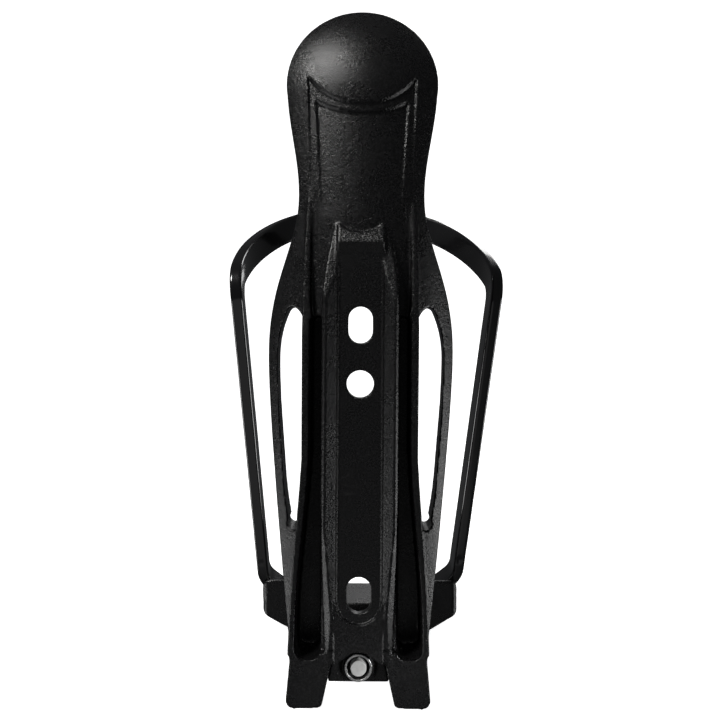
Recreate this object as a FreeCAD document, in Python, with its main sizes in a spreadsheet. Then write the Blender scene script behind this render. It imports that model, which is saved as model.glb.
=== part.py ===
"""Adjustable-grip water bottle cage: moulded backbone, tilting base tray and flat-bar hoop.

Millimetres.  +X is to the right seen from the bicycle frame's side, +Y points from the frame
towards the bottle and +Z is up.  The origin is midway between the two frame-bolt slots, on the
rear face of the panel that they pass through.
"""
import FreeCAD, Part
import math
import os
from FreeCAD import Placement, Rotation, Vector

doc = FreeCAD.newDocument("bottle_cage")

# ----------------------------------------------------------------------------- dimensions
DIMENSIONS = [
    # alias, value, meaning
    ("bolt_spacing", 64.0, "distance between the two frame bolts"),
    ("slot_width", 5.8, "width of each frame-bolt slot"),
    ("slot_length", 8.7, "end-to-end length of each frame-bolt slot"),
    ("spare_hole_radius", 3.25, "round hole between the slots"),
    ("spare_hole_height", 18.0, "height of the round hole above the origin"),
    ("panel_thickness", 2.5, "bolting panel"),
    ("panel_half_width", 5.2, "recessed bolting panel, half width"),
    ("panel_border", 0.9, "height of the border round the panel recess"),
    ("bottle_axis_depth", 50.0, "bottle axis in front of the panel"),
    ("bottle_radius", 37.3, "radius of the bottle seat"),
    ("crown_radius", 32.0, "radius of the backbone's rounded rear"),
    ("crown_apex_depth", 1.6, "depth of the rounded rear on the centre line"),
    ("head_radius", 18.7, "rounded head in outline"),
    ("head_centre_height", 91.25, "centre of the rounded head"),
    ("dome_centre_height", 88.0, "centre of the ball that domes the head"),
    ("body_depth", 16.0, "front limit of the backbone"),
    ("rail_inner", 5.7, "inner edge of each rail"),
    ("rail_outer", 9.1, "outer edge of each rail"),
    ("rail_crest", 2.4, "rail crest behind the panel"),
    ("channel_floor_depth", 11.3, "floor of the two deep channels"),
    ("groove_half_width", 7.0, "central groove, open to the bottle side"),
    ("groove_top_height", 47.0, "upper end of the central groove"),
    ("foot_rear_depth", 0.6, "rear face of the feet and of the outer ribs"),
    ("web_front", 10.4, "front face of the web that holds the adjusting screw"),
    ("web_rear", 8.4, "rear face of that web"),
    ("pivot_depth", 6.0, "tilt axis of the base, depth"),
    ("pivot_height", -44.0, "tilt axis of the base, height"),
    ("pin_radius", 1.5, "pivot pin"),
    ("pin_length", 18.0, "pivot pin"),
    ("pin_running_gap", 0.05, "radial clearance of the pin in the base"),
    ("barrel_radius", 2.7, "hinge barrel of the base"),
    ("barrel_half_width", 6.7, "hinge barrel and tongue of the base"),
    ("screw_height", -50.5, "height of the adjusting screw"),
    ("screw_radius", 2.0, "adjusting screw shank"),
    ("screw_tip_depth", 3.0, "rear end of the adjusting screw"),
    ("screw_head_radius", 3.4, "adjusting screw head"),
    ("screw_head_depth", 12.6, "front face of the adjusting screw head"),
    ("hex_socket_flats", 2.5, "socket in the screw head, across flats"),
    ("washer_thickness", 0.5, "washer under the screw head"),
    ("clip_thickness", 0.5, "retaining clip behind the web"),
    ("clip_radius", 3.3, "retaining clip"),
    ("collar_radius", 3.35, "threaded collar pressed into the tongue"),
    ("collar_bore", 2.2, "threaded collar bore"),
    ("collar_mouth", 2.7, "wider mouth of that bore"),
    ("collar_rear", 3.3, "rear end of the collar"),
    ("tongue_rear", 4.8, "rear face of the tongue"),
    ("tongue_front", 7.0, "front face of the tongue and front end of the collar"),
    ("tongue_boss_radius", 4.1, "round boss on the tongue"),
    ("tray_floor", -49.2, "surface that the bottle stands on"),
    ("tray_low", -66.0, "below the whole underside of the base tray"),
    ("stem_top", -54.4, "top of the stem that joins the tongue to the tray, and of its trough"),
    ("tray_boss_rear", 65.4, "rear wall of the two bosses that hold the hoop"),
    ("tray_boss_front", 80.8, "front wall of those bosses"),
    ("tray_boss_side", 30.7, "outer wall of those bosses"),
    ("hoop_radius", 38.8, "centre line of the hoop about the bottle axis"),
    ("hoop_thickness", 3.5, "hoop bar, across"),
    ("hoop_width", 7.8, "hoop bar, along the bottle"),
    ("hoop_edge", 0.7, "rounded edges of the hoop bar"),
    ("hoop_twist", 4.0, "turn of the hoop about an upright line between its lower ends, degrees"),
    ("hoop_corner_height", 44.5, "height of the hoop's two upper corners"),
    ("hoop_rise", 0.634, "rise of the upper arc per unit of depth"),
    ("hoop_corner_length", 5.5, "length that each upper corner takes off its two runs"),
    ("leg_foot_half_span", 31.5, "lower end of each straight leg, half span"),
    ("leg_foot_depth", 72.0, "lower end of each straight leg, depth"),
    ("leg_foot_height", -46.0, "lower end of each straight leg, height"),
    ("leg_bend_radius", 7.0, "bend into the tray"),
    ("leg_bend_angle", 45.0, "bend into the tray, degrees"),
    ("leg_tail", 6.0, "straight end inside the tray"),
]

sheet = doc.addObject("Spreadsheet::Sheet", "Dimensions")
for row, (alias, value, meaning) in enumerate(DIMENSIONS, start=1):
    sheet.set(f"A{row}", meaning)
    sheet.set(f"B{row}", str(value))
    sheet.setAlias(f"B{row}", alias)
doc.recompute()
size = {alias: float(sheet.get(alias)) for alias, _, _ in DIMENSIONS}

TOP = 120.0        # beyond the upper end of every piece
BOTTOM = -70.0     # beyond the lower end of every piece


# ----------------------------------------------------------------------------- helpers
def bind(item, **expressions):
    """Bind properties of an object to cells of the sheet."""
    for name, expression in expressions.items():
        item.setExpression(name.replace("__", "."), expression)
    return item


def geometry(kind, points):
    at = [Vector(across, along, 0) for across, along in points]
    if kind == "line":
        return Part.LineSegment(*at)
    if kind == "arc":
        return Part.Arc(*at)
    spline = Part.BSplineCurve()
    spline.interpolate(at)
    return spline


def path(start, *steps):
    """Turn steps into (kind, points) pieces.  A step is one point for a line, "arc" with two
    points, or "curve" with the points that it passes through."""
    pieces = []
    here = start
    for step in steps:
        if isinstance(step[0], str):
            kind, points = step[0], list(step[1:])
        else:
            kind, points = "line", [step]
        pieces.append((kind, [here] + points))
        here = points[-1]
    return pieces


def mirrored(pieces):
    return [(kind, [(-x, z) for x, z in reversed(points)]) for kind, points in reversed(pieces)]


def closed(pieces):
    return pieces + path(pieces[-1][1][-1], pieces[0][1][0])


def circle(across, along, radius):
    side = [(across + radius, along), (across, along + radius), (across - radius, along)]
    other = [side[2], (across, along - radius), side[0]]
    return [("arc", side), ("arc", other)]


def rectangle(low_across, low_along, high_across, high_along):
    return closed(path((low_across, low_along), (high_across, low_along),
                       (high_across, high_along), (low_across, high_along)))


def sketch(name, pieces, placement):
    made = doc.addObject("Sketcher::SketchObject", name)
    made.Placement = placement
    made.addGeometry([geometry(kind, points) for kind, points in pieces], False)
    return made


def extrusion(name, base, direction, length):
    made = doc.addObject("Part::Extrusion", name)
    made.Base = base
    made.DirMode = "Custom"
    made.Dir = direction
    made.Solid = True
    if isinstance(length, str):
        return bind(made, LengthFwd=length)
    made.LengthFwd = length
    return made


def from_behind(name, pieces, depth, length):
    """A prism along +Y whose outline is drawn in X and Z, starting at the given depth."""
    plane = Placement(Vector(0, depth, 0), Rotation(Vector(1, 0, 0), 90))
    return extrusion(name, sketch(name + "_sketch", pieces, plane), Vector(0, 1, 0), length)


def from_side(name, pieces, half_width):
    """A prism along X, centred, whose outline is drawn in Y and Z."""
    plane = Placement(Vector(-half_width, 0, 0), Rotation(Vector(1, 1, 1), 120))
    return extrusion(name, sketch(name + "_sketch", pieces, plane), Vector(1, 0, 0), 2 * half_width)


def from_above(name, pieces, height, length):
    """A prism along +Z whose outline is drawn in X and Y, starting at the given height."""
    plane = Placement(Vector(0, 0, height), Rotation())
    return extrusion(name, sketch(name + "_sketch", pieces, plane), Vector(0, 0, 1), length)


def join(name, items):
    made = doc.addObject("Part::MultiFuse", name)
    made.Shapes = items
    return made


def cut(name, base, tool):
    made = doc.addObject("Part::Cut", name)
    made.Base = base
    made.Tool = tool
    return made


def cut_each(name, base, tools):
    """Cut the tools from the base one after the other."""
    for number, tool in enumerate(tools, start=1):
        base = cut(f"{name}_{number}", base, tool)
    return base


def common(name, first, second):
    made = doc.addObject("Part::MultiCommon", name)
    made.Shapes = [first, second]
    return made


def cylinder(name, radius, height, placement):
    made = doc.addObject("Part::Cylinder", name)
    made.Placement = placement
    if isinstance(height, str):
        bind(made, Height=height)
    else:
        made.Height = height
    return bind(made, Radius=radius)


ALONG_Y = Rotation(Vector(1, 0, 0), -90)
ALONG_X = Rotation(Vector(0, 1, 0), 90)


# ----------------------------------------------------------------------------- backbone
def crown(name, recess, fade_height):
    """The rounded rear of the backbone: a bar domed at its upper end.  It lies deeper by the
    recess at the dome's centre and not at all at the fade height."""
    centre = size["crown_apex_depth"] + size["crown_radius"]
    dome_height = size["dome_centre_height"]
    foot = Vector(0, centre, fade_height)
    top = Vector(0, centre + recess, dome_height)
    along = (top - foot).normalize()
    below = fade_height - BOTTOM
    bar = cylinder(name + "_bar", "Dimensions.crown_radius", below + (top - foot).Length,
                   Placement(foot - along * below, Rotation(Vector(0, 0, 1), along)))
    ball = doc.addObject("Part::Sphere", name + "_ball")
    ball.Placement = Placement(top, Rotation())
    bind(ball, Radius="Dimensions.crown_radius")
    return join(name, [bar, ball])


def backbone_outline():
    """Rounded head, waist, spread wings and taper to the feet."""
    radius = size["head_radius"]
    centre = size["head_centre_height"]
    hip = math.radians(-10)
    hip_point = (radius * math.cos(hip), centre + radius * math.sin(hip))
    shoulder = math.radians(40)
    shoulder_point = (radius * math.cos(shoulder), centre + radius * math.sin(shoulder))
    side = path((0, centre + radius),
                ("arc", shoulder_point, hip_point),
                ("curve", (17.0, 77.7), (15.5, 67.8), (15.6, 59.0), (17.8, 50.5), (20.9, 41.0),
                 (22.9, 30.0), (22.9, 18.0), (21.4, -2.0), (19.5, -22.0), (17.0, -46.0)),
                (16.4, -48.0), (17.2, -57.0), ("arc", (16.6, -58.6), (15.1, -59.1)), (0, -59.1))
    return side + mirrored(side)


def rail_shapes():
    """Two rails with sloped contact faces that seat against the frame tube."""
    inner = size["rail_inner"]
    outer = size["rail_outer"]
    border = -size["panel_border"]
    crest = -size["rail_crest"]
    section = closed(path((size["panel_half_width"], 3.0), (size["panel_half_width"], 0.0),
                          (inner, border), (outer - 0.8, crest), (outer, crest + 0.9),
                          (outer, size["channel_floor_depth"] + 1),
                          (size["groove_half_width"], size["channel_floor_depth"] + 1),
                          (size["groove_half_width"], 3.0)))
    bars = from_above("rail_bars", section + mirrored(section), -49.6, 107.0)
    plan = closed(path((4.9, 57.0), (6.0, 56.6), ("curve", (8.2, 46.0), (outer, 36.0)),
                       (outer, -8.0), (8.8, -23.5), (8.1, -45.0), (8.1, -49.6), (4.9, -49.6)))
    limit = from_behind("rail_plan", plan + mirrored(plan), -5.0, 20.0)
    slope = closed(path((0.8, -49.6), (20.0, -49.6), (20.0, 58.0), (2.2, 57.0), (crest, 38.0),
                        (crest, -30.0)))
    taper = from_side("rail_taper", slope, 15.0)
    rails = common("rails_tapered", common("rails_in_plan", bars, limit), taper)
    bevels = []
    for side in (-1, 1):
        start = Vector(side * 8.2, crest, -16.0)
        end = Vector(side * 6.1, -0.5, -47.2)
        edge = Vector(side * 8.1, 1.0, -45.0)
        bevels.append(half_space(f"rail_bevel_{'left' if side < 0 else 'right'}", start, end, edge, 40.0))
    return cut_each("rails", rails, bevels)


def rib_shapes():
    """Thin outer ribs, which rise out of the waist and flare to the feet."""
    plan = closed(path((12.0, 66.0), (12.9, 65.0), (13.8, 47.0), (14.0, 30.0), (13.9, 0.0),
                       ("curve", (14.5, -9.0), (15.3, -19.0), (16.1, -30.0), (16.9, -46.5)),
                       (13.0, -48.0), (11.2, -40.0), (11.2, 31.0), (12.1, 37.0)))
    limit = from_behind("rib_plan", plan + mirrored(plan), -2.0, 14.0)
    rear = size["foot_rear_depth"]
    slope = closed(path((rear, -50.0), (13.0, -50.0), (13.0, 67.0), (4.4, 67.0), (rear + 0.4, 30.0)))
    return common("ribs", limit, from_side("rib_slope", slope, 20.0))


def half_space(name, first, second, third, reach):
    """A thick disc whose flat face passes through three points and which lies behind them."""
    normal = (second - first).cross(third - first).normalize()
    if normal.y > 0:
        normal = normal * -1
    disc = doc.addObject("Part::Cylinder", name)
    disc.Radius = reach
    disc.Height = 6.0
    disc.Placement = Placement((first + third) * 0.5, Rotation(Vector(0, 0, 1), normal))
    return disc


def foot_shapes():
    """Blocks that carry the backbone's two feet, each with a slanted inner facet."""
    plan = closed(path((5.5, -46.0), (16.6, -46.0), (16.4, -48.0), (17.2, -57.0),
                       ("arc", (16.6, -58.6), (15.1, -59.1)), (9.6, -59.1),
                       ("arc", (8.9, -58.8), (8.5, -58.0)), (6.5, -48.8)))
    blocks = from_behind("foot_blocks", plan + mirrored(plan), size["foot_rear_depth"], 12.0)
    rear = size["foot_rear_depth"]
    facets = []
    for side in (-1, 1):
        crease = Vector(side * 6.6, rear, -48.6)
        crease_end = Vector(side * 12.3, rear, -55.2)
        deep = Vector(side * 8.4, rear + 0.45, -59.1)
        facets.append(half_space(f"foot_facet_{'left' if side < 0 else 'right'}", crease, crease_end,
                                 deep, 9.0))
    return blocks, facets


def head_relief():
    """Stepped M-shaped relief on the head and the waist."""
    steps = [
        # recess, fade height, half width at the foot, foot, tip half width, tip, low point
        ("outer", 0.7, 62.0, 12.2, 60.0, 13.3, 92.6, 85.0),
        ("inner", 1.45, 57.0, 9.5, 56.0, 11.3, 86.2, 82.9),
        ("lower", 1.85, 72.0, 7.8, 58.0, 9.4, 84.6, 81.2),
    ]
    tools = []
    for label, recess, fade, foot_x, foot_z, tip_x, tip_z, low_z in steps:
        plan = closed(path((-foot_x, foot_z), (-tip_x, tip_z), ("arc", (0, low_z), (tip_x, tip_z)),
                           (foot_x, foot_z)))
        prism = from_behind(f"relief_{label}_plan", plan, -2.0, 16.0)
        tools.append(cut(f"relief_{label}", prism, crown(f"relief_{label}_floor", recess, fade)))
    return tools


def window_outline():
    """The long opening between the spine and each wing's outer strip."""
    side = path((14.05, 32.4), ("curve", (15.0, 35.3), (16.7, 36.3), (18.0, 35.5)),
                ("curve", (19.0, 33.0), (20.2, 28.2), (20.5, 20.5), (20.2, 12.8), (19.4, 2.5),
                 (18.6, -7.7), (17.4, -15.9)),
                ("arc", (16.3, -18.1), (15.0, -16.6)), ("curve", (14.6, -9.0), (13.95, 0.0)),
                (14.05, 32.4))
    return side + mirrored(side)


def channel_outline():
    """The two deep channels beside the rails, open to the rear."""
    inner = size["rail_outer"]
    side = path((inner, 32.6), ("arc", (inner + 1.5, 34.1), (inner + 3.0, 32.6)), (12.1, 5.0),
                ("curve", (13.7, -19.0), (14.6, -29.0), (15.2, -45.0)),
                ("arc", (14.5, -46.9), (12.8, -47.6)), (inner + 2.4, -47.6),
                ("arc", (inner + 0.7, -46.9), (inner, -45.2)), (inner, 32.6))
    return side + mirrored(side)


def make_backbone():
    body = from_behind("outline", backbone_outline(), 0.0, "Dimensions.body_depth")
    body = common("rounded_body", body, crown("crown_rear", 0.0, size["bolt_spacing"]))

    half = size["panel_half_width"]
    border = -size["panel_border"]
    panel_foot = -49.6
    panel = from_behind("panel", rectangle(-half - 0.5, panel_foot, half + 0.5, 50.0), 0.0,
                        "Dimensions.panel_thickness")
    apron = from_behind("panel_apron", rectangle(-half - 0.5, panel_foot, half + 0.5, -33.5),
                        border, 2.0)
    recess_centre = -33.5
    recess = from_behind(
        "panel_recess",
        closed(path((-half, -20.0), (-half, recess_centre),
                    ("arc", (0, recess_centre - half), (half, recess_centre)), (half, -20.0))),
        border - 1.0, size["panel_border"] + 1.0)
    wedge_plan = closed(path((-half - 0.4, 49.0), (half + 0.4, 49.0), (half + 0.4, 56.4),
                             ("arc", (0, 54.0), (-half - 0.4, 56.4))))
    wedge_slope = closed(path((0.0, 49.0), (-0.9, 51.6), (1.15, 56.6), (4.0, 56.6), (4.0, 49.0)))
    wedge = common("cross_wedge", from_behind("cross_wedge_plan", wedge_plan, -3.0, 9.0),
                   from_side("cross_wedge_slope", wedge_slope, 8.0))
    feet, facets = foot_shapes()
    solid = join("backbone_solid", [body, panel, rail_shapes(), rib_shapes(), wedge, feet])
    relief = head_relief()
    shaped = cut_each("backbone_shaped", solid, relief + facets)
    framed = join("backbone_framed", [shaped, cut("apron_recessed", apron, recess)])

    bottle = cylinder("bottle_seat", "Dimensions.bottle_radius", TOP - BOTTOM,
                      Placement(Vector(0, 0, BOTTOM), Rotation()))
    bind(bottle, Placement__Base__y="Dimensions.bottle_axis_depth")

    groove_half = size["groove_half_width"]
    groove_top = size["groove_top_height"]
    groove = from_behind(
        "groove",
        closed(path((-groove_half, BOTTOM), (-groove_half, groove_top - groove_half),
                    ("arc", (0, groove_top), (groove_half, groove_top - groove_half)),
                    (groove_half, BOTTOM))),
        size["panel_thickness"], 20.0)

    channels = from_behind("channels", channel_outline(), -6.0, 6.0 + size["channel_floor_depth"])
    windows = from_behind("windows", window_outline(), -6.0, 40.0)

    head_pocket = path((0.9, 66.0), (10.8, 66.0), ("curve", (12.4, 78.0), (14.6, 90.7)),
                       ("arc", (10.4, 101.0), (0.9, 105.3)), (0.9, 66.0))
    head_pockets = from_behind("head_pockets", head_pocket + mirrored(head_pocket), 7.2, 20.0)

    half_slot = size["slot_width"] / 2
    straight = size["slot_length"] / 2 - half_slot
    slots = []
    for label, sign in (("upper", 1), ("lower", -1)):
        outline = path((half_slot, -straight), (half_slot, straight),
                       ("arc", (0, straight + half_slot), (-half_slot, straight)),
                       (-half_slot, -straight), ("arc", (0, -straight - half_slot),
                                                 (half_slot, -straight)))
        slot = from_behind(f"{label}_slot", outline, -6.0, 12.0)
        slot.Base.setExpression("Placement.Base.z", f"{sign} * Dimensions.bolt_spacing / 2")
        slots.append(slot)
    spare = cylinder("spare_hole", "Dimensions.spare_hole_radius", 12.0,
                     Placement(Vector(0, -6, 0), ALONG_Y))
    bind(spare, Placement__Base__z="Dimensions.spare_hole_height")

    screw_height = size["screw_height"]
    notch_side = path((0, -61.0), (9.2, -61.0), (8.5, -58.0), (6.5, -48.8), (2.9, -46.4),
                      (0, -46.4))
    notch = from_behind("notch", notch_side + mirrored(notch_side), -6.0, 20.0)
    ring_relief = from_behind("ring_relief", circle(0, screw_height + 1.4, 3.95), -6.0, 12.0)
    pin_bore = cylinder("pin_bore", "Dimensions.pin_radius", 2 * size["rail_outer"] + 0.2,
                        Placement(Vector(-size["rail_outer"] - 0.1, size["pivot_depth"],
                                         size["pivot_height"]), ALONG_X))

    groove_width = 0.5
    outer_line = path((half, 49.0), (half, recess_centre),
                      ("arc", (0, recess_centre - half), (-half, recess_centre)), (-half, 49.0))
    near = half - groove_width
    inner_line = path((-half, 49.0), (-near, 49.0), (-near, recess_centre),
                      ("arc", (0, recess_centre - near), (near, recess_centre)), (near, 49.0),
                      (half, 49.0))
    panel_groove = from_behind("panel_groove", outer_line + inner_line, border - 1.0,
                               size["panel_border"] + 1.5)

    grooves = path((10.8, 64.0), (11.3, 64.0), (11.3, 47.5), (10.8, 47.5), (10.8, 64.0))
    scores = from_behind("score_lines", grooves + mirrored(grooves), -3.0, 6.9)

    opened = cut_each("backbone_opened", framed,
                      [bottle, groove, channels, windows, head_pockets, spare, notch, ring_relief,
                       pin_bore, scores, panel_groove] + slots)

    web_slot = path((2.2, -60.0), (2.2, screw_height),
                    ("arc", (0, screw_height + 2.2), (-2.2, screw_height)), (-2.2, -60.0),
                    (2.2, -60.0))
    web_block = from_behind("web_block", rectangle(-8.0, -53.4, 8.0, -47.2), size["web_rear"],
                            "Dimensions.web_front - Dimensions.web_rear")
    web = cut("screw_web", web_block, from_behind("web_slot", web_slot, 0.0, 20.0))
    made = join("backbone", [opened, web])
    return made


# ----------------------------------------------------------------------------- hoop
def hoop_frames():
    """Section centres with the bar's travel and outward directions, from the left end over the
    front to the right end."""
    axis = Vector(0, size["bottle_axis_depth"], 0)
    radius = size["hoop_radius"]
    rise = size["hoop_rise"]

    def on_arc(angle):
        outward = Vector(math.cos(angle), math.sin(angle), 0)
        point = axis + outward * radius
        point.z = size["hoop_corner_height"] + rise * radius * math.sin(angle)
        travel = Vector(math.sin(angle), -math.cos(angle), -rise * math.cos(angle)).normalize()
        return point, travel, outward

    corner = Vector(radius, size["bottle_axis_depth"], size["hoop_corner_height"])
    foot = Vector(size["leg_foot_half_span"], size["leg_foot_depth"], size["leg_foot_height"])
    down = (foot - corner).normalize()
    outward = (Vector(1, 0, 0) - down * down.x).normalize()
    reach = size["hoop_corner_length"]
    corner_angle = reach / (radius * math.hypot(1, rise))

    frames = []
    arc_steps = 14
    for step in range(arc_steps + 1):
        angle = math.pi / 2 + (corner_angle - math.pi / 2) * step / arc_steps
        frames.append(on_arc(angle))

    arc_end = on_arc(corner_angle)
    leg_start = corner + down * reach
    handle = 0.62 * reach
    first, last = arc_end[0] + arc_end[1] * handle, leg_start - down * handle
    corner_steps = 6
    for step in range(1, corner_steps + 1):
        t = step / corner_steps
        u = 1 - t
        point = (arc_end[0] * u**3 + first * (3 * u * u * t) + last * (3 * u * t * t)
                 + leg_start * t**3)
        travel = ((first - arc_end[0]) * (u * u) + (last - first) * (2 * u * t)
                  + (leg_start - last) * (t * t)).normalize()
        side = arc_end[2] * u + outward * t
        side = (side - travel * side.dot(travel)).normalize()
        frames.append((point, travel, side))

    for share in (0.33, 0.67, 1.0):
        frames.append((leg_start + (foot - leg_start) * share, down, outward))

    bend = math.radians(size["leg_bend_angle"])
    bend_centre = foot - outward * size["leg_bend_radius"]
    bend_steps = 5
    for step in range(1, bend_steps + 1):
        angle = bend * step / bend_steps
        side = outward * math.cos(angle) + down * math.sin(angle)
        travel = down * math.cos(angle) - outward * math.sin(angle)
        frames.append((bend_centre + side * size["leg_bend_radius"], travel, side))
    point, travel, side = frames[-1]
    frames.append((point + travel * size["leg_tail"], travel, side))

    left = []
    for point, travel, side in reversed(frames[1:]):
        left.append((Vector(-point.x, point.y, point.z), Vector(travel.x, -travel.y, -travel.z),
                     Vector(-side.x, side.y, side.z)))
    return left + frames


def bar_section(point, travel, outward):
    """A rounded rectangle across the bar."""
    along = travel.cross(outward)
    half_thick = size["hoop_thickness"] / 2
    half_wide = size["hoop_width"] / 2
    edge = size["hoop_edge"]
    diagonal = edge * (1 - math.sqrt(0.5))

    def at(u, v):
        return point + outward * u + along * v

    lines = []
    for turn in range(4):
        u_sign, v_sign = ((1, 1), (-1, 1), (-1, -1), (1, -1))[turn]
        start = at(u_sign * half_thick, v_sign * (half_wide - edge))
        middle = at(u_sign * (half_thick - diagonal), v_sign * (half_wide - diagonal))
        end = at(u_sign * (half_thick - edge), v_sign * half_wide)
        if turn % 2:
            start, end = end, start
        lines.append((start, middle, end))
    edges = []
    for index, (start, middle, end) in enumerate(lines):
        edges.append(Part.Arc(start, middle, end).toShape())
        edges.append(Part.LineSegment(end, lines[(index + 1) % 4][0]).toShape())
    return Part.Wire(edges)


def make_hoop():
    sections = [bar_section(*frame) for frame in hoop_frames()]
    hoop = doc.addObject("Part::Feature", "hoop")
    hoop.Shape = Part.makeLoft(sections, True, True)
    hoop.Placement = Placement(Vector(), Rotation(Vector(0, 0, 1), size["hoop_twist"]),
                               Vector(0, size["leg_foot_depth"], 0))
    return hoop


# ----------------------------------------------------------------------------- base tray
def boss_shapes():
    """Two bosses that hold the ends of the hoop.  Their rear walls are deepest towards the
    middle, and their tops slope down to the front."""
    rear = size["tray_boss_rear"]
    front = size["tray_boss_front"]
    outer = size["tray_boss_side"]
    top = size["tray_floor"]
    plan = closed(path((17.0, rear), (outer - 1.7, rear),
                       ("arc", (outer - 0.5, rear + 0.5), (outer, rear + 1.7)),
                       (outer, front - 3.0),
                       ("arc", (outer - 0.8, front - 0.8), (outer - 2.8, front)),
                       (20.5, front), (17.0, 74.0)))
    blocks = from_above("boss_plan", plan + mirrored(plan), size["tray_low"],
                        "Dimensions.tray_floor - Dimensions.tray_low")
    wall = closed(path((16.0, top), (outer - 2.5, top),
                       ("arc", (outer - 0.7, top - 0.8), (outer, top - 2.6)), (outer, -58.6),
                       ("arc", (outer - 0.4, -59.7), (outer - 1.2, -60.4)), (22.0, -64.9),
                       (16.0, -64.9)))
    limit = from_behind("boss_wall", wall + mirrored(wall), rear - 1.0, 20.0)
    slopes = closed(path((rear - 1.0, top), (rear + 1.0, top), (front + 1.0, -54.2),
                         (front + 1.0, -60.4), (rear + 1.0, -64.9), (rear - 1.0, -64.9)))
    return common("bosses", common("bosses_in_plan", blocks, limit),
                  from_side("boss_slopes", slopes, 35.0))


def make_base_tray(hoop):
    half = size["barrel_half_width"]
    neck = path((0, size["tongue_rear"]), (4.6, size["tongue_rear"]), (4.6, 11.5), (half, 14.0),
                (half, 24.0), (0, 24.0))
    stem = from_above("stem", neck + mirrored(neck), size["tray_low"],
                      "Dimensions.stem_top - Dimensions.tray_low")
    side = path((0, 19.0), (8.0, 19.0), ("arc", (9.1, 19.5), (9.5, 20.6)), (9.5, 36.0),
                (21.4, 62.0), (21.4, 72.0), (17.5, 72.0), ("curve", (12.0, 66.2), (5.5, 63.4)),
                (0, 63.2))
    plate = from_above("tray_plate", side + mirrored(side), size["tray_low"],
                       "Dimensions.tray_floor - Dimensions.tray_low")
    tongue_side = path((0, -57.0), (7.45, -57.0), (7.45, -54.1), (half, -50.6),
                       (half, size["pivot_height"]), (0, size["pivot_height"]))
    tongue = from_behind("tongue_plate", tongue_side + mirrored(tongue_side), size["tongue_rear"],
                         "Dimensions.tongue_front - Dimensions.tongue_rear")
    barrel = cylinder("hinge_barrel", "Dimensions.barrel_radius", "2 * Dimensions.barrel_half_width",
                      Placement(Vector(-half, size["pivot_depth"], size["pivot_height"]), ALONG_X))
    boss = cylinder("tongue_boss", "Dimensions.tongue_boss_radius", 2.9,
                    Placement(Vector(0, size["tongue_front"] - 2.9, size["screw_height"]), ALONG_Y))

    under = closed(path((0.0, -52.2), (4.8, -54.3), (7.0, -55.3), (12.0, -57.4), (44.0, -58.2),
                        (52.0, -60.5), (66.4, -64.9), (81.0, -60.4), (81.0, -75.0),
                        (0.0, -75.0)))
    shaped = cut("tray_shaped", join("tray_block", [stem, plate, tongue, boss]),
                 from_side("tray_undercut", under, 35.0))
    solid = join("tray_solid", [shaped, boss_shapes(), barrel])

    trough_side = path((0, 12.0), (6.6, 12.0), (6.6, 36.0), (10.4, 44.6), (0, 44.6))
    trough = from_above("trough", trough_side + mirrored(trough_side), size["stem_top"], 10.0)
    hollow_side = path((0, 47.4), (11.6, 47.4), (17.7, 60.8), (0, 60.8))
    hollow = from_above("under_hollow", hollow_side + mirrored(hollow_side), -75.0, 23.0)
    pin_bore = cylinder("tray_pin_bore", "Dimensions.pin_radius + Dimensions.pin_running_gap", 30.0,
                        Placement(Vector(-15, size["pivot_depth"], size["pivot_height"]), ALONG_X))
    collar_seat = cylinder("collar_seat", "Dimensions.collar_radius", 10.0,
                           Placement(Vector(0, 0, size["screw_height"]), ALONG_Y))
    opened = cut_each("tray_opened", solid, [trough, hollow, pin_bore, collar_seat])
    return cut("base_tray", opened, hoop)


# ----------------------------------------------------------------------------- small parts
def plane_of(body, role):
    for feature in body.Origin.OriginFeatures:
        if feature.Role == role:
            return feature
    raise ValueError(role)


def turned_piece(name, outline, axis_height):
    """A body turned about the line along Y at the given height.  The outline is drawn in
    (distance from the axis, depth)."""
    body = doc.addObject("PartDesign::Body", name)
    profile = body.newObject("Sketcher::SketchObject", name + "_profile")
    profile.AttachmentSupport = [(plane_of(body, "XY_Plane"), "")]
    profile.MapMode = "FlatFace"
    profile.addGeometry([geometry(kind, points) for kind, points in outline], False)
    turned = body.newObject("PartDesign::Revolution", name + "_turned")
    turned.Profile = profile
    turned.ReferenceAxis = (profile, ["V_Axis"])
    turned.Angle = 360
    body.Placement = Placement(Vector(0, 0, axis_height), Rotation())
    return body


def make_screw():
    shank = size["screw_radius"]
    shank_edge = 0.15
    head = size["screw_head_radius"]
    tip = size["screw_tip_depth"]
    head_front = size["screw_head_depth"]
    head_rear = size["web_front"] + size["washer_thickness"]
    outline = closed(path((0, tip), (shank - shank_edge, tip), (shank, tip + shank_edge), (shank, head_rear),
                          (head, head_rear), (head, head_front - 0.8),
                          ("arc", (head - 0.3, head_front - 0.25), (head - 0.9, head_front)),
                          (0, head_front)))
    body = turned_piece("adjusting_screw", outline, size["screw_height"])
    doc.recompute()
    socket = body.newObject("Sketcher::SketchObject", "hex_socket")
    socket.AttachmentSupport = [(plane_of(body, "XZ_Plane"), "")]
    socket.MapMode = "FlatFace"
    socket.AttachmentOffset = Placement(Vector(0, 0, -head_front), Rotation())
    corner = size["hex_socket_flats"] / math.sqrt(3)
    corners = [(corner * math.cos(math.radians(60 * n)), corner * math.sin(math.radians(60 * n)))
               for n in range(6)]
    socket.addGeometry([geometry(kind, points) for kind, points in closed(path(*corners))], False)
    pocket = body.newObject("PartDesign::Pocket", "hex_socket_pocket")
    pocket.Profile = socket
    pocket.Length = 1.2
    pocket.Reversed = False
    before = body.Shape.Volume
    doc.recompute()
    if pocket.Shape.Volume > before - 1:
        pocket.Reversed = True
        doc.recompute()
    if pocket.Shape.Volume > before - 1:
        raise ValueError("the hex socket cuts nothing")
    return body


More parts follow.
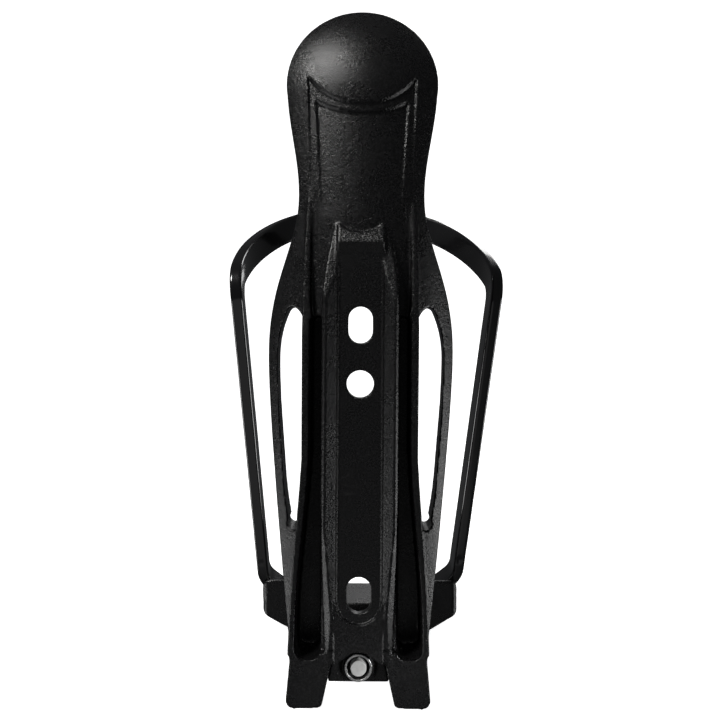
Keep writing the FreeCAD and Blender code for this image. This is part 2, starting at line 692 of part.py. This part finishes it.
def ring_outline(inner, outer, rear, front):
    chamfer = 0.1
    return closed(path((inner, rear), (outer - chamfer, rear), (outer, rear + chamfer),
                       (outer, front), (inner, front)))


def make_small_parts():
    height = size["screw_height"]
    web_front = size["web_front"]
    web_rear = size["web_rear"]
    bore = size["collar_bore"]
    mouth = size["collar_mouth"]
    outer = size["collar_radius"]
    rear = size["collar_rear"]
    lip = (outer - mouth) / 2
    collar_outline = closed(path((bore, rear + 1.4), (mouth, rear + 1.1), (mouth, rear + lip),
                                 ("arc", (mouth + lip, rear), (outer, rear + lip)),
                                 (outer, size["tongue_front"]), (bore, size["tongue_front"])))
    collar = turned_piece("threaded_collar", collar_outline, height)
    washer = turned_piece("screw_washer",
                          ring_outline(size["screw_radius"] + 0.05, size["screw_head_radius"],
                                       web_front, web_front + size["washer_thickness"]), height)
    clip = turned_piece("retaining_clip",
                        ring_outline(size["screw_radius"], size["clip_radius"],
                                     web_rear - size["clip_thickness"], web_rear), height)
    pin_half = size["pin_length"] / 2
    pin_radius = size["pin_radius"]
    pin_outline = closed(path((0, -pin_half), (pin_radius - 0.3, -pin_half),
                              (pin_radius, 0.3 - pin_half), (pin_radius, pin_half - 0.3),
                              (pin_radius - 0.3, pin_half), (0, pin_half)))
    pin = turned_piece("pivot_pin", pin_outline, 0)
    pin.Placement = Placement(Vector(0, size["pivot_depth"], size["pivot_height"]),
                              Rotation(Vector(0, 0, 1), 90))
    return [make_screw(), collar, washer, clip, pin]


# ----------------------------------------------------------------------------- build and write
backbone = make_backbone()
hoop = make_hoop()
tray = make_base_tray(hoop)
pieces = [backbone, tray, hoop] + make_small_parts()
doc.recompute()

for item in doc.Objects:
    if "Invalid" in item.State or "Error" in item.State:
        raise ValueError(f"{item.Label} failed: {item.State}")
os.makedirs("parts", exist_ok=True)
for piece in pieces:
    shape = piece.Shape
    if shape.isNull() or not shape.isValid():
        raise ValueError(f"{piece.Label} has no valid shape")
    box = shape.BoundBox
    print(f"{piece.Label}: {len(shape.Solids)} solid(s), {shape.Volume:.0f} mm3, "
          f"x {box.XMin:.1f}..{box.XMax:.1f} y {box.YMin:.1f}..{box.YMax:.1f} "
          f"z {box.ZMin:.1f}..{box.ZMax:.1f}")
    shape.exportStep(f"parts/{piece.Label}.step")
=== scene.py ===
"""Looks of the adjustable water bottle cage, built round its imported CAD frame."""
import math

import bmesh
import bpy
from mathutils import Matrix, Vector, noise


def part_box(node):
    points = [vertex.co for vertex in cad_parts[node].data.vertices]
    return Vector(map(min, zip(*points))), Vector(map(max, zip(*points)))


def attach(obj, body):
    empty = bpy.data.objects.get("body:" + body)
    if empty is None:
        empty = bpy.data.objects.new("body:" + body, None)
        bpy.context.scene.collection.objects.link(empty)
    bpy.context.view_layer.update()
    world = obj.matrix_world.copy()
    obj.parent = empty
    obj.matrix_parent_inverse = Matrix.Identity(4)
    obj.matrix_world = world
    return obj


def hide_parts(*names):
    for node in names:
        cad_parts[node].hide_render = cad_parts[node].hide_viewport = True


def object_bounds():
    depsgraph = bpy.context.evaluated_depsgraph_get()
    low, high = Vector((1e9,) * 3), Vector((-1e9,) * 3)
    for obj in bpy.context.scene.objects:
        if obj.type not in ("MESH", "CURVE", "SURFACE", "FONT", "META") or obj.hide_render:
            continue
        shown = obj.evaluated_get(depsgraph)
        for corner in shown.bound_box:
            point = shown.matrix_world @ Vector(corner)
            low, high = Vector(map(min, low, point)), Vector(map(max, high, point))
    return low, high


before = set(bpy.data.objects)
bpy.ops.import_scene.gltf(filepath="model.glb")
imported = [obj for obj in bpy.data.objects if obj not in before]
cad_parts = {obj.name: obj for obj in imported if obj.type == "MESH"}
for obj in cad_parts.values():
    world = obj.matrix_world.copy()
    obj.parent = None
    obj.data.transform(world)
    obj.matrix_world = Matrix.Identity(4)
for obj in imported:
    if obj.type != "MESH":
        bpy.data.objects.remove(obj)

CAD_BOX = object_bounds()
MM = 0.001

# The hoop's path, the same as the frame's
BOTTLE_AXIS_DEPTH = 50.0 * MM
HOOP_RADIUS = 38.8 * MM
HOOP_THICKNESS = 3.5 * MM
HOOP_WIDTH = 7.8 * MM
HOOP_EDGE = 0.7 * MM
HOOP_CORNER_HEIGHT = 44.5 * MM
HOOP_RISE = 0.634
HOOP_CORNER_LENGTH = 5.5 * MM
HOOP_TWIST = math.radians(4.0)
LEG_FOOT = Vector((31.5, 72.0, -46.0)) * MM
LEG_BEND_RADIUS = 7.0 * MM
LEG_BEND_ANGLE = math.radians(45)
LEG_TAIL = 5.8 * MM
HOOP_STEP = 0.6 * MM
CORNER_STEPS = 24
BEND_STEPS = 14

# The adjusting screw and its threaded collar
SCREW_HEIGHT = -50.5 * MM
SCREW_RADIUS = 2.0 * MM
HEAD_REAR_DEPTH = 10.9 * MM
THREAD_PITCH = 0.7 * MM
THREAD_DEPTH = 0.32 * MM
SOCKET_APOTHEM = 1.25 * MM
COLLAR_MOUTH = 2.75 * MM
COLLAR_MOUTH_DEPTH = 1.3 * MM

# The studio, in metres
PAPER_HALF_WIDTH = 1.6
PAPER_FRONT = -1.2
PAPER_BACK = 0.9
PAPER_TOP = 1.6
PAPER_BEND = 0.25


# ------------------------------------------------------------------ mesh helpers
def new_object(name, mesh, body, slot_name, *nodes):
    """A finished piece: named, riding on its body, standing for its CAD nodes."""
    piece = bpy.data.objects.new(name, mesh)
    bpy.context.scene.collection.objects.link(piece)
    for face in mesh.polygons:
        face.use_smooth = True
    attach(piece, body)
    if nodes:
        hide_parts(*nodes)
    return piece


def modifier_result(piece):
    """The piece's mesh with its modifiers applied, which are then removed."""
    view = bpy.context.evaluated_depsgraph_get()
    view.update()
    mesh = bpy.data.meshes.new_from_object(piece.evaluated_get(view))
    piece.modifiers.clear()
    return mesh


def softened_copy(node, voxel, passes, keep):
    """The CAD node's shape with every edge rounded as a mould leaves it."""
    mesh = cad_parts[node].data.copy()
    welded = bmesh.new()
    welded.from_mesh(mesh)
    bmesh.ops.remove_doubles(welded, verts=welded.verts, dist=0.001 * MM)
    welded.to_mesh(mesh)
    welded.free()
    mesh.materials.clear()
    work = bpy.data.objects.new(node + "_work", mesh)
    bpy.context.scene.collection.objects.link(work)
    remesh = work.modifiers.new("voxels", "REMESH")
    remesh.mode = "VOXEL"
    remesh.voxel_size = voxel
    soften = work.modifiers.new("soften", "SMOOTH")
    soften.factor = 0.5
    soften.iterations = passes
    thin = work.modifiers.new("thin", "DECIMATE")
    thin.ratio = keep
    result = modifier_result(work)
    bpy.data.objects.remove(work)
    return result


def ring_mesh(name, rings, closed_ends=True):
    """Skin a list of point rings, each with the same count.  Both ends are capped unless
    closed_ends is off."""
    mesh = bpy.data.meshes.new(name)
    made = bmesh.new()
    loops = [[made.verts.new(point) for point in ring] for ring in rings]
    count = len(rings[0])
    for lower, upper in zip(loops, loops[1:]):
        for index in range(count):
            after = (index + 1) % count
            made.faces.new((lower[index], lower[after], upper[after], upper[index]))
    if closed_ends:
        made.faces.new(list(reversed(loops[0])))
        made.faces.new(loops[-1])
    bmesh.ops.recalc_face_normals(made, faces=made.faces)
    made.to_mesh(mesh)
    made.free()
    return mesh


# ------------------------------------------------------------------ materials
class Shader:
    """Small helper round one procedural material."""

    def __init__(self, name, **sockets):
        self.material = bpy.data.materials.new(name)
        self.material.use_nodes = True
        self.tree = self.material.node_tree
        self.surface = self.tree.nodes["Principled BSDF"]
        self.place = self.node("ShaderNodeTexCoord").outputs["Object"]
        for socket, value in sockets.items():
            self.surface.inputs[socket.replace("_", " ")].default_value = value

    def node(self, kind, **settings):
        made = self.tree.nodes.new(kind)
        for key, value in settings.items():
            setattr(made, key, value)
        return made

    def link(self, source, target):
        self.tree.links.new(source, target)

    def noise(self, scale, detail, roughness=0.5, distortion=0.0):
        made = self.node("ShaderNodeTexNoise")
        made.inputs["Scale"].default_value = scale
        made.inputs["Detail"].default_value = detail
        made.inputs["Roughness"].default_value = roughness
        made.inputs["Distortion"].default_value = distortion
        self.link(self.place, made.inputs["Vector"])
        return made.outputs["Fac"]

    def stretched(self, stretch, turn):
        mapping = self.node("ShaderNodeMapping")
        mapping.inputs["Scale"].default_value = stretch
        mapping.inputs["Rotation"].default_value = turn
        self.link(self.place, mapping.inputs["Vector"])
        return mapping.outputs["Vector"]

    def ramp(self, source, low, high, out_low=0.0, out_high=1.0):
        made = self.node("ShaderNodeMapRange", interpolation_type="SMOOTHSTEP")
        for socket, value in zip(("From Min", "From Max", "To Min", "To Max"),
                                 (low, high, out_low, out_high)):
            made.inputs[socket].default_value = value
        self.link(source, made.inputs["Value"])
        return made.outputs["Result"]

    def math(self, operation, first, second=None):
        made = self.node("ShaderNodeMath", operation=operation)
        for socket, value in zip(made.inputs, (first, second)):
            if value is None:
                continue
            if isinstance(value, (int, float)):
                socket.default_value = value
            else:
                self.link(value, socket)
        return made.outputs["Value"]

    def mix(self, factor, first, second):
        made = self.node("ShaderNodeMix", data_type="RGBA")
        self.link(factor, made.inputs["Factor"])
        for socket, value in ((made.inputs[6], first), (made.inputs[7], second)):
            if isinstance(value, tuple):
                socket.default_value = (*value, 1.0)
            else:
                self.link(value, socket)
        return made.outputs[2]

    def bump(self, height, distance, strength, normal=None):
        made = self.node("ShaderNodeBump")
        made.inputs["Strength"].default_value = strength
        made.inputs["Distance"].default_value = distance
        self.link(height, made.inputs["Height"])
        if normal is not None:
            self.link(normal, made.inputs["Normal"])
        return made.outputs["Normal"]

    def scratches(self, scale, width, patch_scale, patch_low, patch_high, turn, stretch):
        """Fine broken lines, gathered in patches."""
        lines = self.node("ShaderNodeTexNoise")
        lines.inputs["Scale"].default_value = scale
        lines.inputs["Detail"].default_value = 1.0
        self.link(self.stretched(stretch, turn), lines.inputs["Vector"])
        away = self.math("ABSOLUTE", self.math("SUBTRACT", lines.outputs["Fac"], 0.5))
        line = self.ramp(away, 0.0, width, 1.0, 0.0)
        patch = self.ramp(self.noise(patch_scale, 3.0), patch_low, patch_high)
        return self.math("MULTIPLY", line, patch)


def plastic_material():
    """Matte black moulding: pebbled grain, light speckle and a few old rub marks."""
    made = Shader("moulded_plastic", Roughness=0.4)
    grain = made.noise(3000, 4.0, 0.6)
    pebble = made.noise(1400, 3.0, 0.6)
    swirl = made.noise(120, 4.0, 0.6, 0.6)
    rubs = made.scratches(95, 0.010, 60, 0.54, 0.68, (0.2, 0.9, 0.5), (1.0, 1.0, 2.4))
    nicks = made.scratches(160, 0.008, 85, 0.58, 0.70, (1.0, -0.4, 2.2), (2.2, 1.0, 0.8))
    marks = made.math("MAXIMUM", rubs, nicks)
    speckle = made.ramp(made.noise(2600, 2.0, 0.7), 0.40, 0.68)
    shade = made.mix(speckle, (0.0025, 0.0025, 0.0028), (0.0160, 0.0160, 0.0168))
    dusted = made.mix(made.math("MULTIPLY", marks, 0.30), shade, (0.045, 0.045, 0.048))
    made.link(dusted, made.surface.inputs["Base Color"])
    rough = made.math("ADD", made.ramp(swirl, 0.3, 0.72, 0.24, 0.30),
                      made.math("MULTIPLY", speckle, 0.07))
    made.link(made.math("ADD", rough, made.math("MULTIPLY", marks, 0.12)),
              made.surface.inputs["Roughness"])
    soft = made.bump(pebble, 0.17 * MM, 0.65)
    fine = made.bump(grain, 0.11 * MM, 0.75, soft)
    scored = made.bump(marks, -0.03 * MM, 0.5, fine)
    made.link(scored, made.surface.inputs["Normal"])
    return made.material


def hoop_material():
    """Black coated bar with a faint orange peel and fine lengthwise rubs."""
    made = Shader("black_hoop_metal", Metallic=0.0, Coat_Weight=0.6, Coat_Roughness=0.06,
                  Specular_IOR_Level=0.7)
    cloud = made.noise(70, 3.0, 0.5)
    rubs = made.scratches(220, 0.008, 70, 0.5, 0.64, (0.3, 0.2, 0.0), (1.0, 1.0, 0.15))
    shade = made.mix(made.ramp(cloud, 0.3, 0.7), (0.005, 0.005, 0.0055), (0.010, 0.010, 0.0108))
    worn = made.mix(made.math("MULTIPLY", rubs, 0.4), shade, (0.06, 0.06, 0.065))
    made.link(worn, made.surface.inputs["Base Color"])
    rough = made.ramp(cloud, 0.3, 0.75, 0.14, 0.24)
    made.link(rough, made.surface.inputs["Roughness"])
    peel = made.bump(made.noise(420, 2.0, 0.4), 0.02 * MM, 0.5)
    made.link(peel, made.surface.inputs["Normal"])
    return made.material


def metal_material(name, dark, light, rough_low, rough_high, grain_scale, metallic=1.0):
    """Plated or blackened metal, clouded and finely pitted."""
    made = Shader(name, Metallic=metallic)
    cloud = made.noise(grain_scale, 5.0, 0.6)
    pits = made.noise(grain_scale * 4, 4.0, 0.7)
    made.link(made.mix(made.ramp(cloud, 0.3, 0.7), dark, light), made.surface.inputs["Base Color"])
    made.link(made.ramp(pits, 0.3, 0.7, rough_low, rough_high), made.surface.inputs["Roughness"])
    made.link(made.bump(pits, 0.02 * MM, 0.5), made.surface.inputs["Normal"])
    return made.material


def collar_material():
    """Bright plated face with painted shade in the bore, told apart by the distance from the screw's
    axis.
    """
    made = Shader("collar_steel", Metallic=0.9)
    parts = made.node("ShaderNodeSeparateXYZ")
    made.link(made.place, parts.inputs["Vector"])
    rise = made.math("SUBTRACT", parts.outputs["Z"], SCREW_HEIGHT)
    squared = made.math("ADD", made.math("MULTIPLY", parts.outputs["X"], parts.outputs["X"]),
                        made.math("MULTIPLY", rise, rise))
    reach = made.math("MULTIPLY", made.math("SQRT", squared), 1 / MM)
    face = made.ramp(reach, 2.72, 2.84)
    pits = made.noise(2600, 4.0, 0.7)
    bright = made.mix(made.ramp(pits, 0.35, 0.65), (0.45, 0.45, 0.45), (0.85, 0.85, 0.84))
    # painted shade: within 2.72 mm of the screw's axis the colour is near-black, standing in for the
    # shadow that falls in the bore
    made.link(made.mix(face, (0.012, 0.012, 0.013), bright), made.surface.inputs["Base Color"])
    made.link(made.ramp(pits, 0.3, 0.7, 0.24, 0.42), made.surface.inputs["Roughness"])
    made.link(made.bump(pits, 0.03 * MM, 0.6), made.surface.inputs["Normal"])
    return made.material


# ------------------------------------------------------------------ pieces
def hoop_frames():
    """Places, travel and outward directions along the bar, from the left end to the right."""
    axis = Vector((0, BOTTLE_AXIS_DEPTH, 0))

    def on_arc(angle):
        outward = Vector((math.cos(angle), math.sin(angle), 0))
        point = axis + outward * HOOP_RADIUS
        point.z = HOOP_CORNER_HEIGHT + HOOP_RISE * HOOP_RADIUS * math.sin(angle)
        travel = Vector((math.sin(angle), -math.cos(angle), -HOOP_RISE * math.cos(angle)))
        return point, travel.normalized(), outward

    corner = axis + Vector((HOOP_RADIUS, 0, HOOP_CORNER_HEIGHT))
    down = (LEG_FOOT - corner).normalized()
    outward = (Vector((1, 0, 0)) - down * down.x).normalized()
    corner_angle = HOOP_CORNER_LENGTH / (HOOP_RADIUS * math.hypot(1, HOOP_RISE))

    half = []
    arc_length = (math.pi / 2 - corner_angle) * HOOP_RADIUS * math.hypot(1, HOOP_RISE)
    steps = round(arc_length / HOOP_STEP)
    for step in range(steps + 1):
        half.append(on_arc(math.pi / 2 + (corner_angle - math.pi / 2) * step / steps))

    arc_end = half[-1]
    leg_start = corner + down * HOOP_CORNER_LENGTH
    handle = 0.62 * HOOP_CORNER_LENGTH
    first = arc_end[0] + arc_end[1] * handle
    last = leg_start - down * handle
    for step in range(1, CORNER_STEPS + 1):
        t = step / CORNER_STEPS
        u = 1 - t
        point = (arc_end[0] * u**3 + first * (3 * u * u * t) + last * (3 * u * t * t)
                 + leg_start * t**3)
        travel = ((first - arc_end[0]) * (u * u) + (last - first) * (2 * u * t)
                  + (leg_start - last) * (t * t)).normalized()
        side = arc_end[2] * u + outward * t
        half.append((point, travel, (side - travel * side.dot(travel)).normalized()))

    run = LEG_FOOT - leg_start
    steps = round(run.length / HOOP_STEP)
    for step in range(1, steps + 1):
        half.append((leg_start + run * (step / steps), down, outward))

    centre = LEG_FOOT - outward * LEG_BEND_RADIUS
    for step in range(1, BEND_STEPS + 1):
        angle = LEG_BEND_ANGLE * step / BEND_STEPS
        side = outward * math.cos(angle) + down * math.sin(angle)
        travel = down * math.cos(angle) - outward * math.sin(angle)
        half.append((centre + side * LEG_BEND_RADIUS, travel, side))
    point, travel, side = half[-1]
    for share in (0.25, 0.5, 0.75, 1.0):
        half.append((point + travel * LEG_TAIL * share, travel, side))

    mirror = Matrix.Diagonal((-1, 1, 1))
    left = [(mirror @ point, -(mirror @ travel), mirror @ side)
            for point, travel, side in reversed(half[1:])]
    twist = Matrix.Rotation(HOOP_TWIST, 3, "Z")
    pivot = Vector((0, LEG_FOOT.y, 0))
    return [(pivot + twist @ (point - pivot), twist @ travel, twist @ side)
            for point, travel, side in left + half]


def bar_outline():
    """A rounded rectangle as (outward, along) offsets, with points along its flats too."""
    flat_thick = HOOP_THICKNESS / 2 - HOOP_EDGE
    flat_wide = HOOP_WIDTH / 2 - HOOP_EDGE
    signs = ((1, 1), (-1, 1), (-1, -1), (1, -1))
    corner_steps = 7
    flat_steps = 5
    outline = []
    for corner, (u_sign, v_sign) in enumerate(signs):
        for step in range(corner_steps + 1):
            angle = math.pi / 2 * (corner + step / corner_steps)
            outline.append((u_sign * flat_thick + HOOP_EDGE * math.cos(angle),
                            v_sign * flat_wide + HOOP_EDGE * math.sin(angle)))
        start = outline[-1]
        next_u, next_v = signs[(corner + 1) % 4]
        after = math.pi / 2 * (corner + 1)
        end = (next_u * flat_thick + HOOP_EDGE * math.cos(after),
               next_v * flat_wide + HOOP_EDGE * math.sin(after))
        for step in range(1, flat_steps):
            share = step / flat_steps
            outline.append((start[0] + (end[0] - start[0]) * share,
                            start[1] + (end[1] - start[1]) * share))
    return outline


def make_hoop():
    """The flat bar, with a shallow dimple near each lower end and a slightly uneven surface."""
    outline = bar_outline()
    rings = []
    for point, travel, outward in hoop_frames():
        along = travel.cross(outward)
        rings.append([point + outward * u + along * v for u, v in outline])
    mesh = ring_mesh("hoop_bar", rings)
    dimple_depth = 0.45 * MM
    dimple_radius = 1.3 * MM
    ripple_length = 9 * MM
    ripple_depth = 0.05 * MM
    for vertex in mesh.vertices:
        at = vertex.co
        side = 1 if at.x > 0 else -1
        dimple = Vector((side * 31.7, 68.1 + side * 1.9, -43.6)) * MM
        away = (at - dimple).length
        if away < dimple_radius:
            at.y += dimple_depth * (math.cos(math.pi * away / dimple_radius) + 1) / 2
        at.x -= side * abs(noise.noise(at / ripple_length) * ripple_depth)
    return new_object("hoop_bar", mesh, "base", "black_hoop_metal", "hoop")


def make_backbone():
    mesh = softened_copy("backbone", voxel=0.30 * MM, passes=3, keep=0.38)
    return new_object("backbone_shell", mesh, "root", "moulded_plastic", "backbone")


def make_tray():
    """The base.  Its left boss ends swollen and lumpy, its right one only slightly uneven."""
    mesh = softened_copy("base_tray", voxel=0.40 * MM, passes=4, keep=0.5)
    lump_size = 3.2 * MM
    swell_size = 6.0 * MM
    swell_offset = Vector((3.0, 1.0, 7.0))
    boss_start = 22 * MM
    boss_blend = 5 * MM
    for vertex in mesh.vertices:
        at = vertex.co
        lump = noise.fractal(at / lump_size, 0.8, 2.0, 4)
        swell = noise.noise(at / swell_size + swell_offset)
        near_end = max(0.0, min(1.0, (abs(at.x) - boss_start) / boss_blend))
        if at.x < 0:
            at.x -= (0.45 + 0.5 * swell) * MM * near_end
            at.y += 0.22 * MM * lump * near_end
        else:
            at.x -= 0.06 * MM * abs(lump) * near_end
    return new_object("base_tray_shell", mesh, "base", "moulded_plastic", "base_tray")


def lathe(profile, height, segments):
    """Turn a (radius, depth) profile about the line along Y at the given height.
    A radius may be a function of the angle."""
    rings = []
    for radius, depth in profile:
        ring = []
        for index in range(segments):
            angle = 2 * math.pi * index / segments
            reach = radius(angle) if callable(radius) else radius
            ring.append(Vector((reach * math.cos(angle), depth, height + reach * math.sin(angle))))
        rings.append(ring)
    return rings


def thread_ring(depth, tip, segments):
    """One ring of points round the threaded shank, whose groove and radius shrink at its tip."""
    plain_length = 0.35 * MM
    plain_depth = 0.12 * MM
    lead_length = 0.20 * MM
    lead_depth = 0.15 * MM
    from_tip = depth - tip
    lead = min(1.0, from_tip / lead_length)
    ring = []
    for index in range(segments):
        angle = 2 * math.pi * index / segments
        phase = (depth / THREAD_PITCH - angle / (2 * math.pi)) % 1
        reach = SCREW_RADIUS - THREAD_DEPTH * abs(2 * phase - 1)
        if from_tip < plain_length:
            reach = max(reach, SCREW_RADIUS - plain_depth)
        reach = min(reach, SCREW_RADIUS - lead_depth * (1 - lead))
        ring.append(Vector((reach * math.cos(angle), depth, SCREW_HEIGHT + reach * math.sin(angle))))
    return ring


def hexagon(angle):
    """Distance from the axis to the wall of the key socket."""
    return SOCKET_APOTHEM / math.cos((angle + math.pi / 6) % (math.pi / 3) - math.pi / 6)


def make_screw():
    """Threaded shank, rounded head and key socket, as one skin from the tip to the socket."""
    low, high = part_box("adjusting_screw")
    tip = low.y
    front = high.y
    head = high.x
    segments = 72
    steps_per_turn = 10
    length = HEAD_REAR_DEPTH - tip
    count = round(length / THREAD_PITCH * steps_per_turn)
    rings = [thread_ring(tip + length * step / count, tip, segments) for step in range(count + 1)]
    tip_share = 0.9
    rings.insert(0, [Vector((tip_share * p.x, p.y,
                             SCREW_HEIGHT + tip_share * (p.z - SCREW_HEIGHT)))
                     for p in rings[0]])

    dome = 0.8 * MM
    dome_inset = 0.7 * MM
    dome_steps = 6
    socket_depth = 1.2 * MM
    profile = [(head * 0.96, HEAD_REAR_DEPTH), (head, HEAD_REAR_DEPTH + 0.1 * MM),
               (head, front - dome)]
    for step in range(1, dome_steps + 1):
        angle = math.pi / 2 * step / dome_steps
        profile.append((head - dome_inset * (1 - math.cos(angle)),
                        front - dome + dome * math.sin(angle)))
    profile += [(lambda angle: hexagon(angle) + 0.2 * MM, front), (hexagon, front - 0.15 * MM),
                (hexagon, front - socket_depth), (0.15 * MM, front - socket_depth - 0.35 * MM)]
    rings += lathe(profile, SCREW_HEIGHT, segments)
    mesh = ring_mesh("adjusting_screw", rings)
    return new_object("zinc_screw", mesh, "screw", "zinc_plated_steel", "adjusting_screw")


def ring_piece(name, node, body, slot_name, bore, edge, mouth=None):
    """A turned ring with rounded edges, its outer size and ends from the frame.  A mouth is
    the larger radius of the rear part of its bore."""
    low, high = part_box(node)
    outer = high.x
    corners = [(outer - edge, low.y + edge, -90, 0), (outer - edge, high.y - edge, 0, 90),
               (bore + edge, high.y - edge, 90, 180)]
    if mouth is None:
        corners.append((bore + edge, low.y + edge, 180, 270))
    else:
        shelf = low.y + COLLAR_MOUTH_DEPTH
        corners += [(bore + edge, shelf + edge, 180, 270), (mouth + edge, shelf + edge, 180, 180),
                    (mouth + edge, low.y + edge, 180, 270)]
    corner_steps = 6
    segments = 80
    profile = []
    for radius, depth, start, end in corners:
        for step in range(corner_steps + 1):
            angle = math.radians(start + (end - start) * step / corner_steps)
            profile.append((radius + edge * math.cos(angle), depth + edge * math.sin(angle)))
    rings = lathe(profile + profile[:1], (low.z + high.z) / 2, segments)
    mesh = ring_mesh(name, rings, closed_ends=False)
    merged = bmesh.new()
    merged.from_mesh(mesh)
    bmesh.ops.remove_doubles(merged, verts=merged.verts, dist=0.001 * MM)
    bmesh.ops.recalc_face_normals(merged, faces=merged.faces)
    merged.to_mesh(mesh)
    merged.free()
    return new_object(name, mesh, body, slot_name, node)


def make_pin():
    """The pivot pin with rounded ends."""
    low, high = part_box("pivot_pin")
    middle = (low + high) / 2
    radius = (high.z - low.z) / 2
    half = (high.x - low.x) / 2
    edge = 0.4 * MM
    edge_steps = 6
    segments = 48
    stations = [(-half, radius - edge)]
    for step in range(1, edge_steps + 1):
        angle = math.pi / 2 * step / edge_steps
        stations.append((-half + edge * (1 - math.cos(angle)),
                         radius - edge + edge * math.sin(angle)))
    stations += [(-x, r) for x, r in reversed(stations)]
    rings = []
    for x, reach in stations:
        ring = []
        for index in range(segments):
            angle = 2 * math.pi * index / segments
            ring.append(Vector((x, middle.y + reach * math.cos(angle),
                                middle.z + reach * math.sin(angle))))
        rings.append(ring)
    return new_object("hinge_pin", ring_mesh("hinge_pin", rings), "root", "plated_steel",
                      "pivot_pin")


# ------------------------------------------------------------------ studio
def make_sky():
    world = bpy.data.worlds.new("studio")
    bpy.context.scene.world = world
    world.use_nodes = True
    sky = world.node_tree.nodes["Background"]
    sky.inputs["Color"].default_value = (0.80, 0.82, 0.85, 1)
    sky.inputs["Strength"].default_value = 0.06


def make_paper():
    """A white sheet that lies under the object and curves up behind it."""
    floor_height = CAD_BOX[0][2] - 0.5 * MM
    profile = [(PAPER_FRONT, floor_height), (0.0, floor_height)]
    bend_steps = 12
    for step in range(bend_steps + 1):
        angle = math.pi / 2 * step / bend_steps
        profile.append((PAPER_BACK - PAPER_BEND + PAPER_BEND * math.sin(angle),
                        floor_height + PAPER_BEND * (1 - math.cos(angle))))
    profile.append((PAPER_BACK, PAPER_TOP))

    mesh = bpy.data.meshes.new("studio_floor")
    made = bmesh.new()
    rows = [[made.verts.new((x, y, z)) for x in (-PAPER_HALF_WIDTH, PAPER_HALF_WIDTH)]
            for y, z in profile]
    for lower, upper in zip(rows, rows[1:]):
        made.faces.new((lower[0], lower[1], upper[1], upper[0]))
    made.to_mesh(mesh)
    made.free()
    for face in mesh.polygons:
        face.use_smooth = True
    paper = Shader("studio_paper", Roughness=0.9)
    paper.surface.inputs["Base Color"].default_value = (0.9, 0.9, 0.9, 1)
    paper.surface.inputs["Emission Color"].default_value = (1, 1, 1, 1)
    paper.surface.inputs["Emission Strength"].default_value = 1.0
    mesh.materials.append(paper.material)
    floor = bpy.data.objects.new("studio_floor", mesh)
    bpy.context.scene.collection.objects.link(floor)
    floor.visible_glossy = False
    floor.visible_diffuse = False


def place_lamp(light, place, target):
    lamp = bpy.data.objects.new(light.name, light)
    lamp.location = place
    lamp.rotation_euler = (Vector(target) - Vector(place)).to_track_quat("-Z", "Y").to_euler()
    bpy.context.scene.collection.objects.link(lamp)
    return lamp


def make_lights():
    softboxes = [
        # name, place, target, width, energy, colour
        ("key", (-0.42, -0.42, 0.62), (0, 0, 0.05), 0.20, 5.0, (1.0, 0.99, 0.97)),
        ("left", (-0.60, -0.10, -0.30), (0, 0.03, -0.01), 0.30, 1.2, (1, 1, 1)),
        ("right", (0.65, -0.05, -0.18), (0, 0.03, -0.01), 0.30, 1.7, (1, 1, 1)),
        ("low", (0.0, -0.50, -0.32), (0, 0, -0.03), 0.40, 0.08, (1, 1, 1)),
        ("behind", (0.0, 0.45, 0.13), (0, 0.04, -0.05), 0.12, 0.05, (1, 1, 1)),
        ("far", (0.35, 0.75, 0.55), (0, 0.03, 0.0), 0.50, 3.0, (1, 1, 1)),
    ]
    for name, place, target, width, energy, colour in softboxes:
        light = bpy.data.lights.new(name, "AREA")
        light.shape = "RECTANGLE"
        light.size = width
        light.size_y = width
        light.energy = energy
        light.color = colour
        place_lamp(light, place, target).visible_camera = False

    spot = bpy.data.lights.new("screw_spot", "SPOT")
    spot.energy = 8.0
    spot.spot_size = math.radians(3.0)
    spot.spot_blend = 1.0
    spot.shadow_soft_size = 0.01
    place_lamp(spot, (0.40, -0.40, -0.02), (0, 3.0 * MM, SCREW_HEIGHT))


def make_camera():
    scene = bpy.context.scene
    scene.view_settings.view_transform = "Standard"
    camera = bpy.data.cameras.new("camera")
    camera.lens = 40.28
    camera.sensor_width = 36
    camera.shift_x = -0.0118
    camera.shift_y = -0.048
    camera.clip_start = 0.01
    holder = bpy.data.objects.new("camera", camera)
    holder.location = (1.75 * MM, -190 * MM, 32 * MM)
    holder.rotation_euler = (math.radians(90), math.radians(-0.4), 0)
    scene.collection.objects.link(holder)
    scene.camera = holder


# ------------------------------------------------------------------ assembly
plastic = plastic_material()
black_metal = hoop_material()
zinc = metal_material("zinc_plated_steel", (0.80, 0.80, 0.79), (0.92, 0.92, 0.90), 0.42, 0.60, 900,
                      metallic=0.15)
plated = metal_material("plated_steel", (0.58, 0.58, 0.58), (0.76, 0.76, 0.75), 0.25, 0.40, 700,
                        metallic=0.8)
dark_steel = metal_material("dark_steel", (0.035, 0.035, 0.038), (0.07, 0.07, 0.072), 0.16, 0.30,
                            800)

finishes = [
    (make_backbone(), plastic),
    (make_tray(), plastic),
    (make_hoop(), black_metal),
    (make_screw(), zinc),
    (ring_piece("ring_collar", "threaded_collar", "base", "plated_steel",
                bore=2.2 * MM, edge=0.16 * MM, mouth=COLLAR_MOUTH), collar_material()),
    (ring_piece("head_washer", "screw_washer", "screw", "plated_steel",
                bore=2.05 * MM, edge=0.12 * MM), plated),
    (ring_piece("snap_clip", "retaining_clip", "screw", "dark_steel",
                bore=2.02 * MM, edge=0.12 * MM), dark_steel),
    (make_pin(), plated),
]
for piece, material in finishes:
    piece.data.materials.clear()
    piece.data.materials.append(material)

make_sky()
make_paper()
make_lights()
make_camera()
